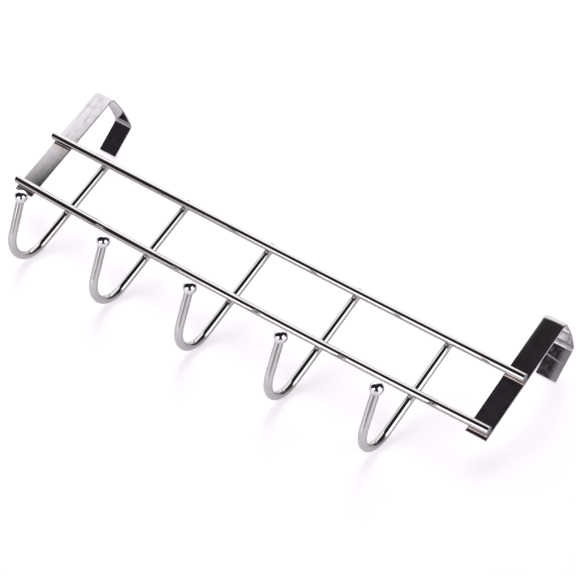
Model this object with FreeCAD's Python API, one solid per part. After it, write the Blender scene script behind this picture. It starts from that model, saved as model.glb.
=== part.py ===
import FreeCAD, Part
import math
import os

# Over door hook rack, in millimetres, as it hangs.
# +X runs along the rails from left to right as seen from the front, +Y goes into the door, +Z is up.
# The origin is at mid-span, where the top front edge of the door meets the bent strips.

Vector = FreeCAD.Vector

# Door
door_thickness = 40.0
door_clearance = 2.0

# Bracket strips
strip_width = 16.0
strip_thickness = 1.2
strip_edge_radius = 0.2
strip_bend_radius = 3.8
strip_below_rail = 6.1
bridge_rise = 8.0
bridge_crown = 1.8
bridge_crown_radius = 100.0
leg_splay = 19.0
leg_length = 26.0

# Rails
rail_diameter = 6.0
rail_length = 408.8
rail_past_left_strip = 2.0
rail_short_of_right_strip = 1.2
rail_end_chamfer = 0.3
upper_rail_drop = 48.8
rail_spacing = 44.1
upper_rail_bow = 0.6
lower_rail_bow = 2.4

# Hooks
hook_count = 5
first_hook_margin = 49.5
last_hook_margin = 59.3
hook_wire_diameter = 6.0
hook_bend_drop = 32.6
hook_bend_radius = 22.0
arm_lean = 47.5
arm_length = 28.0
stem_above_rail = 4.0

# Balls
ball_diameter = 9.5
ball_seat_depth = 1.3

# Resistance welds, as the depth that one piece is pressed into the other
rail_weld_set = 0.3
stem_weld_set = 0.5

# Positions that follow
rail_radius = rail_diameter / 2
hook_wire_radius = hook_wire_diameter / 2
ball_radius = ball_diameter / 2
door_slot = door_thickness + door_clearance
bracket_span = rail_length - rail_past_left_strip + rail_short_of_right_strip
rail_left = -bracket_span / 2 - rail_past_left_strip
hook_pitch = (rail_length - first_hook_margin - last_hook_margin) / (hook_count - 1)
rail_y = -strip_thickness - rail_radius + rail_weld_set
upper_rail_z = -upper_rail_drop
lower_rail_z = upper_rail_z - rail_spacing
stem_y = rail_y + rail_radius + hook_wire_radius - stem_weld_set
hook_bend_z = lower_rail_z - hook_bend_drop


def in_plane(y, z, x=0.0):
    return Vector(x, y, z)


def hook_x(index):
    return rail_left + first_hook_margin + hook_pitch * index


def rail_section(x, end_z, bow, radius):
    """Round section of a rail, which hangs below its ends by its bow in the middle."""
    offset = (x - rail_left) / rail_length * 2 - 1
    centre = in_plane(rail_y, end_z - bow * (1 - offset ** 2), x)
    slope = 4 * bow * offset / rail_length
    return Part.Wire(Part.makeCircle(radius, centre, Vector(1, 0, slope)))


def make_rail(end_z, bow):
    """Wire along X, straight at each weld and turned slightly midway between hooks; chamfered ends."""
    rail_right = rail_left + rail_length
    turns = [hook_x(index) + hook_pitch / 2 for index in range(hook_count - 1)]
    stops = [rail_left + rail_end_chamfer, *turns, rail_right - rail_end_chamfer]
    end_radius = rail_radius - rail_end_chamfer
    return Part.makeLoft([
        rail_section(rail_left, end_z, bow, end_radius),
        *[rail_section(x, end_z, bow, rail_radius) for x in stops],
        rail_section(rail_right, end_z, bow, end_radius)], True, True)


def arm_direction():
    lean = math.radians(arm_lean)
    return Vector(0, -math.sin(lean), math.cos(lean))


def arm_start(x):
    """Where the bend of the hook ends and its straight front arm begins."""
    lean = math.radians(arm_lean)
    y = stem_y - hook_bend_radius * (1 + math.cos(lean))
    z = hook_bend_z - hook_bend_radius * math.sin(lean)
    return in_plane(y, z, x)


def ball_centre(x):
    return arm_start(x) + arm_direction() * arm_length


def wire_end(x):
    """The wire stops inside the ball, one seat depth past the rim of the seat."""
    rim = math.sqrt(ball_radius ** 2 - hook_wire_radius ** 2)
    return ball_centre(x) - arm_direction() * (rim - ball_seat_depth)


def make_hook_wire(x):
    """One wire: straight stem, round bend below the lower rail, straight arm leaning out and up."""
    turn = math.radians(180 - arm_lean)
    top = in_plane(stem_y, upper_rail_z + stem_above_rail, x)
    bend_start = in_plane(stem_y, hook_bend_z, x)
    bend_middle = in_plane(
        stem_y - hook_bend_radius * (1 - math.cos(turn / 2)),
        hook_bend_z - hook_bend_radius * math.sin(turn / 2),
        x)
    path = Part.Wire([
        Part.makeLine(top, bend_start),
        Part.Arc(bend_start, bend_middle, arm_start(x)).toShape(),
        Part.makeLine(arm_start(x), wire_end(x))])
    section = Part.Wire(Part.makeCircle(hook_wire_radius, top, Vector(0, 0, -1)))
    return Part.Wire(path).makePipeShell([section], True, False)


def make_hook(x, rails):
    """The hook wire with the shallow saddles that the welds press where the rails cross its stem."""
    return make_hook_wire(x).cut(rails).removeSplitter()


def make_ball(x):
    """Solid ball with a shallow blind seat that takes the end of the hook wire."""
    ball = Part.makeSphere(ball_radius, ball_centre(x))
    seat = Part.makeCylinder(hook_wire_radius, ball_radius, wire_end(x), arm_direction() * -1)
    return ball.cut(seat)


def line_crossing(point_a, along_a, point_b, along_b):
    """Crossing of two lines in the YZ plane."""
    determinant = along_a.y * along_b.z - along_a.z * along_b.y
    gap = point_b - point_a
    return point_a + along_a * ((gap.y * along_b.z - gap.z * along_b.y) / determinant)


def offset_corners(corners, distance):
    """Moves a YZ polyline sideways to its left by a distance, keeping its sides parallel."""
    sides = []
    for start, end in zip(corners, corners[1:]):
        along = (end - start).normalize()
        sides.append((start + in_plane(-along.z, along.y) * distance, along, end))
    moved = [sides[0][0]]
    for (point_a, along_a, _), (point_b, along_b, _) in zip(sides, sides[1:]):
        moved.append(line_crossing(point_a, along_a, point_b, along_b))
    _, along, end = sides[-1]
    moved.append(end + in_plane(-along.z, along.y) * distance)
    return moved


def rounded_path(corners, radii):
    """Edges of a YZ polyline with each inner corner rounded to its own radius."""
    edges = []
    start = corners[0]
    for before, corner, after, radius in zip(corners, corners[1:], corners[2:], radii):
        back = (before - corner).normalize()
        ahead = (after - corner).normalize()
        half_angle = math.acos(back.dot(ahead)) / 2
        reach = radius / math.tan(half_angle)
        arc_start = corner + back * reach
        arc_end = corner + ahead * reach
        bisector = (back + ahead).normalize()
        arc_middle = corner + bisector * (radius / math.sin(half_angle) - radius)
        edges.append(Part.makeLine(start, arc_start))
        edges.append(Part.Arc(arc_start, arc_middle, arc_end).toShape())
        start = arc_end
    edges.append(Part.makeLine(start, corners[-1]))
    return edges


def make_bracket(left_edge, rails):
    """Flat strip bent over the door: front strip, crowned bridge, rear leg; pressed in by the rails."""
    rise = math.radians(bridge_rise)
    splay = math.radians(leg_splay)
    front_corner = in_plane(0, 0)
    rear_corner = in_plane(door_slot, door_slot * math.tan(rise))
    crown = (front_corner + rear_corner) * 0.5 + in_plane(-math.sin(rise), math.cos(rise)) * bridge_crown
    inner = [
        in_plane(0, lower_rail_z - strip_below_rail),
        front_corner,
        crown,
        rear_corner,
        rear_corner + in_plane(math.sin(splay), -math.cos(splay)) * leg_length]
    inner_radii = [strip_bend_radius, bridge_crown_radius, strip_bend_radius]
    outer = offset_corners(inner, strip_thickness)
    edges = rounded_path(inner, inner_radii)
    edges += rounded_path(outer, [radius + strip_thickness for radius in inner_radii])
    edges.append(Part.makeLine(inner[0], outer[0]))
    edges.append(Part.makeLine(inner[-1], outer[-1]))
    profile = Part.Face(Part.Wire(Part.__sortEdges__(edges)))
    profile.translate(Vector(left_edge, 0, 0))
    strip = profile.extrude(Vector(strip_width, 0, 0))
    side_edges = [edge for edge in strip.Edges if edge.BoundBox.XLength < strip_edge_radius]
    strip = strip.makeFillet(strip_edge_radius, side_edges)
    return strip.cut(rails)


upper_rail = make_rail(upper_rail_z, upper_rail_bow)
lower_rail = make_rail(lower_rail_z, lower_rail_bow)
rails = [upper_rail, lower_rail]
parts = {
    "upper_rail": upper_rail,
    "lower_rail": lower_rail,
    "left_bracket": make_bracket(-bracket_span / 2, rails),
    "right_bracket": make_bracket(bracket_span / 2 - strip_width, rails),
}
for index in range(hook_count):
    parts[f"hook_{index + 1}"] = make_hook(hook_x(index), rails)
    parts[f"ball_{index + 1}"] = make_ball(hook_x(index))

os.makedirs("parts", exist_ok=True)
for name, shape in parts.items():
    shape.exportStep(f"parts/{name}.step")
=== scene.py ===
import bpy
import bmesh
import math
from mathutils import Matrix, Vector


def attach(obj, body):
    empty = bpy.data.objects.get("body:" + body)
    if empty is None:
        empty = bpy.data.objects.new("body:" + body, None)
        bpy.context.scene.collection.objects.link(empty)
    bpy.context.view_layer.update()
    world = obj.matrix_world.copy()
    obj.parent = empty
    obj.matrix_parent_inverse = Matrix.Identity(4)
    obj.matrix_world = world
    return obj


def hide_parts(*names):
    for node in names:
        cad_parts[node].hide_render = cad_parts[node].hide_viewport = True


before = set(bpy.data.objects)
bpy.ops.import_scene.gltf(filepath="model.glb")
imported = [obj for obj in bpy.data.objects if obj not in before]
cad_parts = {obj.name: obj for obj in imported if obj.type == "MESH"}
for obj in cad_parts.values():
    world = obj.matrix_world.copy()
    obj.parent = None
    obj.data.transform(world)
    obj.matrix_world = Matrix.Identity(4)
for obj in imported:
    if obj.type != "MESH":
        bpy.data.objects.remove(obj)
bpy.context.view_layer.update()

# Rails
# Two lengths of 6 mm drawn steel wire, cropped at the ends and bowed a little by the heat of the
# welds. They cross the fronts of the strips and the hook stems. The rack is plated once welded.
RAIL_RADIUS = 0.003
RAIL_LEFT = -0.206
RAIL_RIGHT = 0.2028
RAIL_Y = -0.0039
RAIL_ENDS_AND_BOWS = {"upper_rail": (-0.0488, 0.0006), "lower_rail": (-0.0929, 0.0024)}
RAIL_CROP = 0.0003
RAIL_STEPS = 28
RAIL_FACES = 64
MERGE_DISTANCE = 0.0000001
STRIP_MIDDLES = [-0.196, 0.196]
HOOK_PLACES = [-0.1565, -0.0815, -0.0065, 0.0685, 0.1435]
# Distance of each weld behind the rail's centre line, then half its width, depth and height.
STEM_WELD = (0.00275, (0.0023, 0.0004, 0.0023))
STRIP_WELD = (0.00265, (0.0066, 0.00035, 0.0019))
# In the chrome: the size of its cloudy patches, and how many times longer than wide a streak is.
CLOUD_SIZE = 0.006
STREAK_STRETCH = 50


def linear(code):
    """An sRGB hex colour as the linear colour that the nodes take."""
    channels = [int(code[i:i + 2], 16) / 255 for i in (1, 3, 5)]
    return [c / 12.92 if c <= 0.04045 else ((c + 0.055) / 1.055) ** 2.4 for c in channels] + [1.0]


def add_node(tree, kind, values=None, links=None, **settings):
    """Adds a node with its settings, its socket values and its links from other nodes' outputs."""
    node = tree.nodes.new(kind)
    for name, value in settings.items():
        setattr(node, name, value)
    for socket, value in (values or {}).items():
        node.inputs[socket].default_value = value
    for socket, source in (links or {}).items():
        tree.links.new(source, node.inputs[socket])
    return node


def sort_parts(parts, key):
    """Sorts the corners, edges or faces of a bmesh, which an extrude shuffles from run to run."""
    ranks = {part: rank for rank, part in enumerate(sorted(parts, key=key))}
    parts.sort(key=ranks.get)
    parts.index_update()


def finish_piece(name, mesh_data, finishes, sharp_degrees=50):
    """Turns a bmesh into a smooth object of the rack, sharp where its faces meet at an angle."""
    bmesh.ops.remove_doubles(mesh_data, verts=mesh_data.verts, dist=MERGE_DISTANCE)
    bmesh.ops.recalc_face_normals(mesh_data, faces=mesh_data.faces)
    sort_parts(mesh_data.verts, lambda vert: vert.co[:])
    for parts in (mesh_data.edges, mesh_data.faces):
        sort_parts(parts, lambda part: sorted(vert.index for vert in part.verts))
    mesh = bpy.data.meshes.new(name)
    mesh_data.to_mesh(mesh)
    mesh_data.free()
    mesh.shade_smooth()
    mesh.set_sharp_from_angle(angle=math.radians(sharp_degrees))
    for finish in finishes:
        mesh.materials.append(finish)
    piece = bpy.data.objects.new(name, mesh)
    bpy.context.scene.collection.objects.link(piece)
    flats = piece.modifiers.new("flats stay flat", "WEIGHTED_NORMAL")
    flats.keep_sharp = True
    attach(piece, "root")
    return piece


def chrome(
        name, colour, dull_colour, along, streak_width, roughness, rough_spread, wave,
        streak_tone=0.2, haze=0.0):
    """Bright chrome over steel, with faint streaks along the given axes under the plating.

    Real drawing and rolling marks are finer than 0.1 mm. They are drawn coarser here so that they
    show. The wave is their depth, and the haze is the share of light that a thin film scatters.
    """
    finish = bpy.data.materials.new(name)
    finish.use_nodes = True
    tree = finish.node_tree
    shader = tree.nodes["Principled BSDF"]
    place = add_node(tree, "ShaderNodeTexCoord").outputs["Object"]
    squeeze = [1 / (streak_width * (STREAK_STRETCH if axis in along else 1)) for axis in "xyz"]
    streak_place = add_node(tree, "ShaderNodeMapping", {"Scale": squeeze}, {"Vector": place})
    streaks = add_node(
        tree, "ShaderNodeTexNoise", {"Scale": 1, "Detail": 3, "Roughness": 0.6},
        {"Vector": streak_place.outputs["Vector"]})
    cloud_place = add_node(
        tree, "ShaderNodeMapping", {"Scale": [1 / CLOUD_SIZE] * 3}, {"Vector": place})
    clouds = add_node(
        tree, "ShaderNodeTexNoise", {"Scale": 1, "Detail": 4, "Roughness": 0.55},
        {"Vector": cloud_place.outputs["Vector"]})
    cloudy = add_node(
        tree, "ShaderNodeMapRange",
        {"From Min": 0.45, "From Max": 0.8, "To Min": 0, "To Max": 0.3},
        {"Value": clouds.outputs["Fac"]}, interpolation_type="SMOOTHSTEP")
    streaky = add_node(
        tree, "ShaderNodeMapRange",
        {"From Min": 0.4, "From Max": 0.68, "To Min": 0, "To Max": streak_tone},
        {"Value": streaks.outputs["Fac"]})
    tone = add_node(
        tree, "ShaderNodeMath", None,
        {0: cloudy.outputs["Result"], 1: streaky.outputs["Result"]}, operation="ADD")
    blend = add_node(
        tree, "ShaderNodeMix", {6: linear(colour), 7: linear(dull_colour)},
        {0: tone.outputs[0]}, data_type="RGBA")
    tree.links.new(blend.outputs[2], shader.inputs["Base Color"])
    rough = add_node(
        tree, "ShaderNodeMapRange",
        {"From Min": 0.3, "From Max": 0.75,
         "To Min": roughness, "To Max": roughness + rough_spread},
        {"Value": streaks.outputs["Fac"]})
    tree.links.new(rough.outputs["Result"], shader.inputs["Roughness"])
    shader.inputs["Metallic"].default_value = 1.0
    if haze:
        hazy = add_node(
            tree, "ShaderNodeMapRange",
            {"From Min": 0.35, "From Max": 0.7, "To Min": 1 - 0.5 * haze, "To Max": 1 - 2 * haze},
            {"Value": clouds.outputs["Fac"]})
        tree.links.new(hazy.outputs["Result"], shader.inputs["Metallic"])
    bump = add_node(
        tree, "ShaderNodeBump", {"Strength": 1.0, "Distance": wave},
        {"Height": streaks.outputs["Fac"]})
    tree.links.new(bump.outputs["Normal"], shader.inputs["Normal"])
    return finish


# Chrome-plated drawn steel: a bright, nearly neutral mirror with faint die lines along the wire.
rail_chrome = chrome(
    "chrome-plated drawn steel, rails", "#CCCACA", "#B9B5B6", along="x",
    streak_width=0.0008, roughness=0.015, rough_spread=0.03, wave=0.000001)
# The cropped ends take the plating thinly, so they stay a flat, bluish grey.
cropped_steel = chrome(
    "cropped steel end", "#A9ADB8", "#8B8C92", along="",
    streak_width=0.0006, roughness=0.42, rough_spread=0.15, wave=0.00003)
# Resistance welds squeeze out a thin lip, browned by the heat and left rough under the plating.
weld_lip = chrome(
    "chrome over heat-browned weld", "#A89A90", "#6E635C", along="",
    streak_width=0.0004, roughness=0.22, rough_spread=0.3, wave=0.00002)
WIRE_SLOT, END_SLOT, WELD_SLOT = range(3)


def add_weld(shape, x, z, weld):
    """Adds the squeezed-out lip of a weld behind a rail: a thin lens where two pieces meet."""
    behind, half_sizes = weld
    made = bmesh.ops.create_uvsphere(
        shape, u_segments=32, v_segments=12, radius=1,
        matrix=Matrix.Translation((x, RAIL_Y + behind, z)) @ Matrix.Diagonal((*half_sizes, 1)))
    for face in {face for vert in made["verts"] for face in vert.link_faces}:
        face.material_index = WELD_SLOT


for rail_name, (end_z, bow) in RAIL_ENDS_AND_BOWS.items():
    rail = bmesh.new()
    rail_middle = Matrix.Translation(((RAIL_LEFT + RAIL_RIGHT) / 2, RAIL_Y, end_z))
    bmesh.ops.create_cone(
        rail, cap_ends=True, segments=RAIL_FACES, radius1=RAIL_RADIUS, radius2=RAIL_RADIUS,
        depth=RAIL_RIGHT - RAIL_LEFT, matrix=rail_middle @ Matrix.Rotation(math.pi / 2, 4, "Y"))
    rims = [edge for edge in rail.edges if abs(edge.verts[0].co.x - edge.verts[1].co.x) < RAIL_CROP]
    bmesh.ops.bevel(
        rail, geom=rims, offset=RAIL_CROP, offset_type="OFFSET", segments=2, profile=0.5,
        affect="EDGES", material=-1)
    for face in rail.faces:
        face.material_index = END_SLOT if abs(face.normal.x) > 0.9 else WIRE_SLOT
    for step in range(1, RAIL_STEPS):
        cut_x = RAIL_LEFT + (RAIL_RIGHT - RAIL_LEFT) * step / RAIL_STEPS
        bmesh.ops.bisect_plane(
            rail, geom=rail.verts[:] + rail.edges[:] + rail.faces[:], dist=MERGE_DISTANCE,
            plane_co=(cut_x, 0, 0), plane_no=(1, 0, 0))
    for hook_x in HOOK_PLACES:
        add_weld(rail, hook_x, end_z, STEM_WELD)
    for strip_x in STRIP_MIDDLES:
        add_weld(rail, strip_x, end_z, STRIP_WELD)
    for vert in rail.verts:
        off_middle = (vert.co.x - RAIL_LEFT) / (RAIL_RIGHT - RAIL_LEFT) * 2 - 1
        vert.co.z -= bow * (1 - off_middle ** 2)
    piece = finish_piece(rail_name + "_wire", rail, [rail_chrome, cropped_steel, weld_lip])
    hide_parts(rail_name)

# Brackets
# Two flat strips of 16 x 1.2 mm mild steel, bent over the door: a front strip down to the rails,
# a crowned bridge and a rear leg splayed as a lead-in. Rolling leaves a slight camber, soft edges.
STRIP_WIDTH = 0.016
STRIP_THICK = 0.0012
STRIP_EDGE = 0.0004
STRIP_CAMBER = 0.00016
STRIP_LANES = 12
STRIP_LINE = [(0, -0.099), (0, 0), (0.02075, 0.004734), (0.042, 0.005903), (0.050465, -0.018681)]
BEND_RADII = [0.0038, 0.1, 0.0038]
BEND_STEPS = [14, 6, 14]
HEAT_DROP = 0.0035
HEAT_REACH = 0.006
# Painted reflections on the right leg, made rougher and less metallic there: where its lighter band
# fades in across it, where the leg starts behind the bend, and a painted light line along the line
# where x times its slope plus z is its height.
PAINTED_BAND_FROM, PAINTED_BAND_FULL = 0.1962, 0.2034
LEG_FROM, LEG_FULL = 0.0424, 0.0432
PAINTED_LINE_SLOPE = 0.122
PAINTED_LINE_HEIGHT = 0.018456
PAINTED_LINE_HALF = 0.0006
BLOTCH_SIZE = 0.0025
BLOTCH_TONE = 0.3
PAINTED_REFLECTION_ROUGH = 0.55
PAINTED_REFLECTION_DULL = 0.85


def extrude_end(shape, faces, shift):
    """Extrudes the end face of a run by a vector and gives the new end face."""
    grown = bmesh.ops.extrude_face_region(shape, geom=faces)["geom"]
    bmesh.ops.delete(shape, geom=faces, context="FACES_ONLY")
    bmesh.ops.translate(
        shape, vec=shift, verts=[part for part in grown if isinstance(part, bmesh.types.BMVert)])
    return [part for part in grown if isinstance(part, bmesh.types.BMFace)]


def bend_end(shape, faces, centre, angle, steps):
    """Bends the end face of a run about an axis along X and gives the new end face."""
    swept = bmesh.ops.spin(
        shape, geom=faces, cent=centre, axis=(1, 0, 0), dvec=(0, 0, 0), angle=angle, steps=steps,
        use_merge=False, use_normal_flip=False, use_duplicate=False)["geom_last"]
    bmesh.ops.delete(shape, geom=faces, context="FACES_ONLY")
    return [part for part in swept if isinstance(part, bmesh.types.BMFace)]


# Chrome over rolled strip: the rolling marks run along the strip and soften what it mirrors, and
# the heat of the welds has left a warm band just below each rail.
strip_chrome = chrome(
    "chrome-plated rolled strip steel", "#CBC8CC", "#8C8388", along="yz",
    streak_width=0.0006, roughness=0.02, rough_spread=0.06, wave=0.000007,
    streak_tone=0.5, haze=0.025)
tree = strip_chrome.node_tree
shader = tree.nodes["Principled BSDF"]
place = add_node(tree, "ShaderNodeTexCoord").outputs["Object"]
spot = add_node(tree, "ShaderNodeSeparateXYZ", None, {0: place})
tint = shader.inputs["Base Color"].links[0].from_socket
for end_z, _ in RAIL_ENDS_AND_BOWS.values():
    above_band = add_node(
        tree, "ShaderNodeMath", {1: end_z - HEAT_DROP}, {0: spot.outputs["Z"]},
        operation="SUBTRACT")
    from_band = add_node(
        tree, "ShaderNodeMath", None, {0: above_band.outputs[0]}, operation="ABSOLUTE")
    heated = add_node(
        tree, "ShaderNodeMapRange", {"From Min": HEAT_REACH, "From Max": HEAT_REACH / 3},
        {"Value": from_band.outputs[0]}, interpolation_type="SMOOTHSTEP")
    tint = add_node(
        tree, "ShaderNodeMix", {7: linear("#FAEFE6")}, {0: heated.outputs["Result"], 6: tint},
        data_type="RGBA", blend_type="MULTIPLY").outputs[2]
tree.links.new(tint, shader.inputs["Base Color"])

# Painted reflections on the right leg: a band along its outer edge and a line once across it are
# made rougher and less metallic, so that they mirror less and show lighter, and so are faint
# blotches over the leg.
behind = add_node(
    tree, "ShaderNodeMapRange", {"From Min": LEG_FROM, "From Max": LEG_FULL},
    {"Value": spot.outputs["Y"]})
on_right = add_node(
    tree, "ShaderNodeMath", {1: 0}, {0: spot.outputs["X"]}, operation="GREATER_THAN")
on_right_leg = add_node(
    tree, "ShaderNodeMath", None, {0: behind.outputs["Result"], 1: on_right.outputs[0]},
    operation="MULTIPLY")
# A painted reflection: a lighter band along the right leg's outer edge.
painted_band = add_node(
    tree, "ShaderNodeMapRange", {"From Min": PAINTED_BAND_FROM, "From Max": PAINTED_BAND_FULL},
    {"Value": spot.outputs["X"]})
# A painted reflection: a light line once across the right leg.
across_painted_line = add_node(
    tree, "ShaderNodeVectorMath", {1: (PAINTED_LINE_SLOPE, 0, 1)}, {0: place}, operation="DOT_PRODUCT")
above_painted_line = add_node(
    tree, "ShaderNodeMath", {1: PAINTED_LINE_HEIGHT}, {0: across_painted_line.outputs["Value"]},
    operation="SUBTRACT")
off_painted_line = add_node(
    tree, "ShaderNodeMath", None, {0: above_painted_line.outputs[0]}, operation="ABSOLUTE")
on_painted_line = add_node(
    tree, "ShaderNodeMapRange", {"From Min": PAINTED_LINE_HALF, "From Max": PAINTED_LINE_HALF / 2},
    {"Value": off_painted_line.outputs[0]})
# Faint blotches over the right leg, made duller like the painted reflections.
blotch_place = add_node(
    tree, "ShaderNodeMapping", {"Scale": [1 / BLOTCH_SIZE] * 3}, {"Vector": place})
blotches = add_node(
    tree, "ShaderNodeTexNoise", {"Scale": 1, "Detail": 4, "Roughness": 0.6},
    {"Vector": blotch_place.outputs["Vector"]})
blotched = add_node(
    tree, "ShaderNodeMapRange",
    {"From Min": 0.48, "From Max": 0.7, "To Min": 0, "To Max": BLOTCH_TONE},
    {"Value": blotches.outputs["Fac"]})
line_or_blotch = add_node(
    tree, "ShaderNodeMath", None,
    {0: on_painted_line.outputs["Result"], 1: blotched.outputs["Result"]}, operation="MAXIMUM")
strongest_mark = add_node(
    tree, "ShaderNodeMath", None, {0: painted_band.outputs["Result"], 1: line_or_blotch.outputs[0]},
    operation="MAXIMUM")
painted_reflection = add_node(
    tree, "ShaderNodeMath", None, {0: strongest_mark.outputs[0], 1: on_right_leg.outputs[0]},
    operation="MULTIPLY")
# The painted reflections are made rougher and less metallic than the rest of the strip.
for socket, change in (("Roughness", PAINTED_REFLECTION_ROUGH), ("Metallic", -PAINTED_REFLECTION_DULL)):
    changed = add_node(
        tree, "ShaderNodeMath", {1: change},
        {0: painted_reflection.outputs[0], 2: shader.inputs[socket].links[0].from_socket},
        operation="MULTIPLY_ADD")
    tree.links.new(changed.outputs[0], shader.inputs[socket])

for bracket_name, centre_x in zip(("left_bracket", "right_bracket"), STRIP_MIDDLES):
    strip = bmesh.new()
    line = [Vector((centre_x, y, z)) for y, z in STRIP_LINE]
    section = bmesh.ops.create_grid(strip, x_segments=1, y_segments=1, size=0.5)["verts"]
    bmesh.ops.scale(strip, vec=(STRIP_WIDTH, STRIP_THICK, 1), verts=section)
    bmesh.ops.translate(strip, vec=line[0] - Vector((0, STRIP_THICK / 2, 0)), verts=section)
    bmesh.ops.bevel(
        strip, geom=strip.verts[:], offset=STRIP_EDGE, offset_type="OFFSET", segments=3,
        profile=0.5, affect="VERTICES", material=-1)
    flats = [edge for edge in strip.edges if edge.calc_length() > STRIP_WIDTH / 2]
    bmesh.ops.subdivide_edges(strip, edges=flats, cuts=STRIP_LANES - 1)
    for vert in strip.verts:
        off_middle = (vert.co.x - centre_x) / STRIP_WIDTH * 2
        vert.co.y -= STRIP_CAMBER * (1 - off_middle ** 2)
    end = bmesh.ops.duplicate(strip, geom=strip.faces[:])["geom"]
    end = [part for part in end if isinstance(part, bmesh.types.BMFace)]
    reached = line[0]
    for corner, following, radius, steps in zip(line[1:], line[2:], BEND_RADII, BEND_STEPS):
        way_in = (corner - reached).normalized()
        way_out = (following - corner).normalized()
        turn = way_in.angle(way_out)
        tangent = way_in * radius * math.tan(turn / 2)
        door_side = Vector((0, way_in.z, -way_in.y))
        end = extrude_end(strip, end, corner - tangent - reached)
        end = bend_end(strip, end, corner - tangent + door_side * radius, -turn, steps)
        reached = corner + way_out * tangent.length
    extrude_end(strip, end, line[-1] - reached)
    piece = finish_piece(bracket_name + "_strip", strip, [strip_chrome])
    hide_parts(bracket_name)

# Hooks
# Five lengths of 6 mm wire, each bent once below the lower rail. The stem runs up behind both
# rails and is resistance welded to them; the arm leans out to the front.
HOOK_RADIUS = 0.003
HOOK_FACES = 40
STEM_Y = 0.0016
STEM_TOP = -0.0448
HOOK_BEND_Z = -0.1255
HOOK_BEND = 0.022
HOOK_BEND_STEPS = 40
ARM_LEAN = math.radians(47.5)
ARM_LENGTH = 0.028
BALL_RADIUS = 0.00475
WIRE_CROP = 0.0003

# Chrome-plated drawn steel, as on the rails, with its die lines along the stem.
hook_chrome = chrome(
    "chrome-plated drawn steel, hooks", "#C5C4C4", "#B3B0B0", along="z",
    streak_width=0.0008, roughness=0.015, rough_spread=0.03, wave=0.000001)

arm_way = Vector((0, -math.sin(ARM_LEAN), math.cos(ARM_LEAN)))
arm_foot = Vector((
    0, STEM_Y - HOOK_BEND * (1 + math.cos(ARM_LEAN)), HOOK_BEND_Z - HOOK_BEND * math.sin(ARM_LEAN)))
for number, hook_x in enumerate(HOOK_PLACES, start=1):
    hook = bmesh.new()
    bmesh.ops.create_circle(
        hook, cap_ends=True, segments=HOOK_FACES, radius=HOOK_RADIUS,
        matrix=Matrix.Translation((hook_x, STEM_Y, STEM_TOP)))
    end = bmesh.ops.duplicate(hook, geom=hook.faces[:])["geom"]
    end = [part for part in end if isinstance(part, bmesh.types.BMFace)]
    end = extrude_end(hook, end, (0, 0, HOOK_BEND_Z - STEM_TOP))
    bend_centre = (hook_x, STEM_Y - HOOK_BEND, HOOK_BEND_Z)
    end = bend_end(hook, end, bend_centre, -(math.pi - ARM_LEAN), HOOK_BEND_STEPS)
    extrude_end(hook, end, arm_way * (ARM_LENGTH - BALL_RADIUS / 2))
    bmesh.ops.remove_doubles(hook, verts=hook.verts, dist=MERGE_DISTANCE)
    rim = [
        edge for edge in hook.edges
        if min(vert.co.z for vert in edge.verts) > STEM_TOP - MERGE_DISTANCE]
    bmesh.ops.bevel(
        hook, geom=rim, offset=WIRE_CROP, offset_type="OFFSET", segments=2, profile=0.5,
        affect="EDGES", material=-1)
    piece = finish_piece(f"hook_{number}_wire", hook, [hook_chrome])
    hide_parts(f"hook_{number}")

# Balls
# Solid steel balls of 9.5 mm, welded on the wire ends so that no cut end faces a garment. The weld
# leaves a small hollow fillet between ball and wire.
BALL_FILLET = 0.0004
BALL_STEPS = 24
FILLET_STEPS = 6
BALL_FACES = 48

# Chrome over a polished ball: the brightest and smoothest mirror on the rack.
ball_chrome = chrome(
    "chrome-plated polished ball", "#DCDCE0", "#D0CED3", along="",
    streak_width=0.0012, roughness=0.012, rough_spread=0.02, wave=0.000001)
fillet_reach = BALL_RADIUS + BALL_FILLET
fillet_turn = math.acos((HOOK_RADIUS + BALL_FILLET) / fillet_reach)
fillet_middle = Vector((HOOK_RADIUS + BALL_FILLET, -fillet_reach * math.sin(fillet_turn)))
outline = []
for step in range(BALL_STEPS + 1):
    turn = math.pi / 2 - (math.pi / 2 + fillet_turn) * step / BALL_STEPS
    outline.append(Vector((math.cos(turn), math.sin(turn))) * BALL_RADIUS)
for step in range(1, FILLET_STEPS + 1):
    turn = math.pi - fillet_turn + fillet_turn * step / FILLET_STEPS
    outline.append(fillet_middle + Vector((math.cos(turn), math.sin(turn))) * BALL_FILLET)
outline.append(Vector((0, outline[-1].y)))
for number, hook_x in enumerate(HOOK_PLACES, start=1):
    ball = bmesh.new()
    corners = [ball.verts.new((across, 0, along)) for across, along in outline]
    for one, other in zip(corners, corners[1:]):
        ball.edges.new((one, other))
    bmesh.ops.spin(
        ball, geom=ball.verts[:] + ball.edges[:], cent=(0, 0, 0), axis=(0, 0, 1), dvec=(0, 0, 0),
        angle=2 * math.pi, steps=BALL_FACES, use_merge=True, use_normal_flip=False,
        use_duplicate=False)
    centre = arm_foot + arm_way * ARM_LENGTH + Vector((hook_x, 0, 0))
    bmesh.ops.transform(
        ball, verts=ball.verts,
        matrix=Matrix.Translation(centre) @ arm_way.to_track_quat("Z", "Y").to_matrix().to_4x4())
    piece = finish_piece(f"ball_{number}_bead", ball, [ball_chrome], sharp_degrees=60)
    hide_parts(f"ball_{number}")

# Table
# A white laminate table top that the rack lies against on its leg ends and hook backs, as it was
# photographed. It is seen from the front only, so that it hides nothing from behind.
# The direction up the table, a point of it under the hooks' backs, and half its side.
TABLE_LEAN = Vector((0, 0.3862, 0.9224))
TABLE_FOOT = Vector((0, 0.00271, -0.13518))
TABLE_HALF = 3
# The chrome mirrors a painted pool of light, a glow on the table that fades in and out down it.
POOL_LIGHT = 0.55
POOL_EDGE_LIGHT = 0.2
POOL_FAR_LIGHT = 0.15
POOL_START = (-0.09, -0.17)
POOL_END = (-0.3, -0.5)
# The table is overexposed, more so with the distance from the rack.
TABLE_GLOW = 0.56
WASHED_OUT = (0.35, 0.9)

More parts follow.
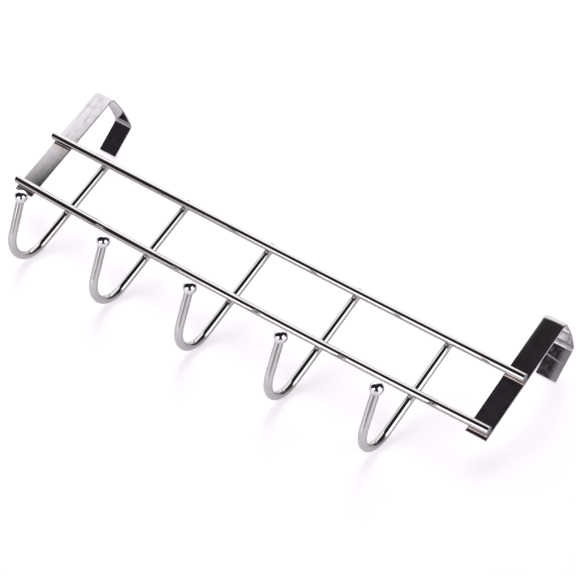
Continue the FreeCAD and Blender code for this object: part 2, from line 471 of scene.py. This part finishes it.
table_mesh = bmesh.new()
table_facing = Vector((1, 0, 0)).cross(TABLE_LEAN)
table_turn = table_facing.to_track_quat("Z", "Y").to_matrix().to_4x4()
bmesh.ops.create_grid(
    table_mesh, x_segments=1, y_segments=1, size=TABLE_HALF,
    matrix=Matrix.Translation(TABLE_FOOT) @ table_turn)
table_data = bpy.data.meshes.new("table_top")
table_mesh.to_mesh(table_data)
table_mesh.free()
table = bpy.data.objects.new("table_top", table_data)
bpy.context.scene.collection.objects.link(table)

board = bpy.data.materials.new("matt white table laminate")
board.use_nodes = True
tree = board.node_tree
tree.nodes.clear()
paint = add_node(
    tree, "ShaderNodeBsdfPrincipled", {"Base Color": linear("#D8D4DA"), "Roughness": 0.28})
light_path = add_node(tree, "ShaderNodeLightPath")
place = add_node(tree, "ShaderNodeTexCoord").outputs["Object"]
down_table = add_node(
    tree, "ShaderNodeVectorMath", {1: TABLE_LEAN}, {0: place},
    operation="DOT_PRODUCT").outputs["Value"]
pool_start = add_node(
    tree, "ShaderNodeMapRange",
    {"From Min": POOL_START[0], "From Max": POOL_START[1],
     "To Min": POOL_EDGE_LIGHT, "To Max": POOL_LIGHT},
    {"Value": down_table}, interpolation_type="SMOOTHSTEP")
pool_end = add_node(
    tree, "ShaderNodeMapRange",
    {"From Min": POOL_END[0], "From Max": POOL_END[1], "To Min": 1, "To Max": POOL_FAR_LIGHT},
    {"Value": down_table}, interpolation_type="SMOOTHSTEP")
pool = add_node(
    tree, "ShaderNodeMath", None,
    {0: pool_start.outputs["Result"], 1: pool_end.outputs["Result"]}, operation="MULTIPLY")
# The painted pool of light glows only for reflected rays.
mirrored = add_node(
    tree, "ShaderNodeMath", None, {0: light_path.outputs["Is Glossy Ray"], 1: pool.outputs[0]},
    operation="MULTIPLY")
away = add_node(tree, "ShaderNodeVectorMath", None, {0: place}, operation="LENGTH")
washed_out = add_node(
    tree, "ShaderNodeMapRange",
    {"From Min": WASHED_OUT[0], "From Max": WASHED_OUT[1], "To Min": TABLE_GLOW, "To Max": 1.0},
    {"Value": away.outputs["Value"]})
strength = add_node(
    tree, "ShaderNodeMath", None,
    {0: light_path.outputs["Is Camera Ray"], 1: washed_out.outputs["Result"],
     2: mirrored.outputs[0]},
    operation="MULTIPLY_ADD")
glow = add_node(
    tree, "ShaderNodeEmission", {"Color": linear("#FFF9FE")}, {"Strength": strength.outputs[0]})
seen = add_node(tree, "ShaderNodeAddShader")
tree.links.new(paint.outputs["BSDF"], seen.inputs[0])
tree.links.new(glow.outputs["Emission"], seen.inputs[1])
clear = add_node(tree, "ShaderNodeBsdfTransparent")
side = add_node(tree, "ShaderNodeNewGeometry")
one_sided = add_node(tree, "ShaderNodeMixShader", None, {"Fac": side.outputs["Backfacing"]})
tree.links.new(seen.outputs["Shader"], one_sided.inputs[1])
tree.links.new(clear.outputs["BSDF"], one_sided.inputs[2])
add_node(tree, "ShaderNodeOutputMaterial", None, {"Surface": one_sided.outputs["Shader"]})
table_data.materials.append(board)

# Studio
# A light tent of three white softboxes round the table. The dark gaps between them draw the black
# lines on the chrome. They were placed by fitting the lights that the photograph's chrome mirrors.
STUDIO_DARK = 0.025
SOFT_REACH = 2.4
KEY_WAY = Vector((0.475, 0.438, -0.757))


def half_lit(tree, across, half, soft):
    """How lit a sheet is at a place across it: full in its middle, fading over its soft edge."""
    size = 2 * (half + SOFT_REACH * soft)
    from_middle = add_node(tree, "ShaderNodeMath", {1: 0.5}, {0: across}, operation="SUBTRACT")
    off = add_node(
        tree, "ShaderNodeMath", None, {0: from_middle.outputs[0]}, operation="ABSOLUTE")
    return add_node(
        tree, "ShaderNodeMapRange",
        {"From Min": (half + SOFT_REACH * soft) / size,
         "From Max": (half - SOFT_REACH * soft) / size},
        {"Value": off.outputs[0]}, interpolation_type="SMOOTHSTEP").outputs["Result"]


def add_softbox(name, place, turns, half_wide, half_high, soft, power):
    """A glowing sheet with soft edges, turned by so many degrees about x, then y, then z."""
    sheet = bmesh.new()
    sheet.loops.layers.uv.new("UVMap")
    sheet_size = (half_wide + SOFT_REACH * soft, half_high + SOFT_REACH * soft, 1, 1)
    bmesh.ops.create_grid(
        sheet, x_segments=1, y_segments=1, size=1, calc_uvs=True,
        matrix=Matrix.Diagonal(sheet_size))
    sheet_data = bpy.data.meshes.new(name)
    sheet.to_mesh(sheet_data)
    sheet.free()
    softbox = bpy.data.objects.new(name, sheet_data)
    softbox.location = place
    softbox.rotation_euler = [math.radians(turn) for turn in turns]
    bpy.context.scene.collection.objects.link(softbox)
    softbox.visible_camera = False
    softbox.visible_shadow = False
    silk = bpy.data.materials.new("white diffusing silk")
    silk.use_nodes = True
    tree = silk.node_tree
    tree.nodes.clear()
    spot = add_node(tree, "ShaderNodeTexCoord").outputs["UV"]
    parts = add_node(tree, "ShaderNodeSeparateXYZ", None, {0: spot})
    wide = half_lit(tree, parts.outputs["X"], half_wide, soft)
    high = half_lit(tree, parts.outputs["Y"], half_high, soft)
    lit = add_node(tree, "ShaderNodeMath", None, {0: wide, 1: high}, operation="MULTIPLY")
    level = add_node(
        tree, "ShaderNodeMath", {1: power, 2: STUDIO_DARK}, {0: lit.outputs[0]},
        operation="MULTIPLY_ADD")
    shine = add_node(
        tree, "ShaderNodeEmission", {"Color": linear("#FFFFFF")}, {"Strength": level.outputs[0]})
    add_node(tree, "ShaderNodeOutputMaterial", None, {"Surface": shine.outputs["Emission"]})
    sheet_data.materials.append(silk)


# As the camera sees them, one stands beyond the rack and one on each side of the camera.
add_softbox(
    "softbox_0", place=(-0.327, -0.056, 0.331), turns=(148.7, -24.1, 62.3),
    half_wide=0.524, half_high=0.526, soft=0.04, power=1.5)
add_softbox(
    "softbox_1", place=(-0.126, -0.461, -0.704), turns=(34.5, 12.2, 146.9),
    half_wide=0.33, half_high=0.195, soft=0.02, power=2.3)
add_softbox(
    "softbox_2", place=(1.03, -0.35, -0.044), turns=(91.9, -5.3, -107.9),
    half_wide=0.602, half_high=0.453, soft=0.06, power=2.3)

# The room is a dark, slightly purple grey in the chrome and white to the camera.
world = bpy.data.worlds.new("studio")
bpy.context.scene.world = world
world.use_nodes = True
tree = world.node_tree
tree.nodes.clear()
light_path = add_node(tree, "ShaderNodeLightPath")
shown = add_node(
    tree, "ShaderNodeMix", {6: linear("#2E2A2F"), 7: linear("#FFFFFF")},
    {0: light_path.outputs["Is Camera Ray"]}, data_type="RGBA")
sky = add_node(tree, "ShaderNodeBackground", None, {"Color": shown.outputs[2]})
add_node(tree, "ShaderNodeOutputWorld", None, {"Surface": sky.outputs["Background"]})

# One broad key light gives the soft shadows beside the hooks.
key = bpy.data.lights.new("key", "SUN")
key.energy = 0.5
key.angle = math.radians(48)
key_lamp = bpy.data.objects.new("key", key)
key_lamp.rotation_mode = "QUATERNION"
key_lamp.rotation_quaternion = KEY_WAY.to_track_quat("-Z", "Y")
bpy.context.scene.collection.objects.link(key_lamp)

# Camera
# Placed by fitting the photograph: 1.3 m away, in front, below and to the right of the hung rack,
# and rolled, with the lens that gives the photograph's perspective.
CAMERA_PLACE = (0.5604, -1.07698, -0.49595)
CAMERA_TURNS = (114.024, -34.678, 12.262)
camera_data = bpy.data.cameras.new("camera")
camera_data.sensor_width = 36
camera_data.lens = 115.79
camera_data.clip_end = 20
camera = bpy.data.objects.new("camera", camera_data)
camera.location = CAMERA_PLACE
camera.rotation_euler = [math.radians(turn) for turn in CAMERA_TURNS]
bpy.context.scene.collection.objects.link(camera)
bpy.context.scene.camera = camera
bpy.context.scene.view_settings.view_transform = "Standard"

bpy.context.view_layer.update()
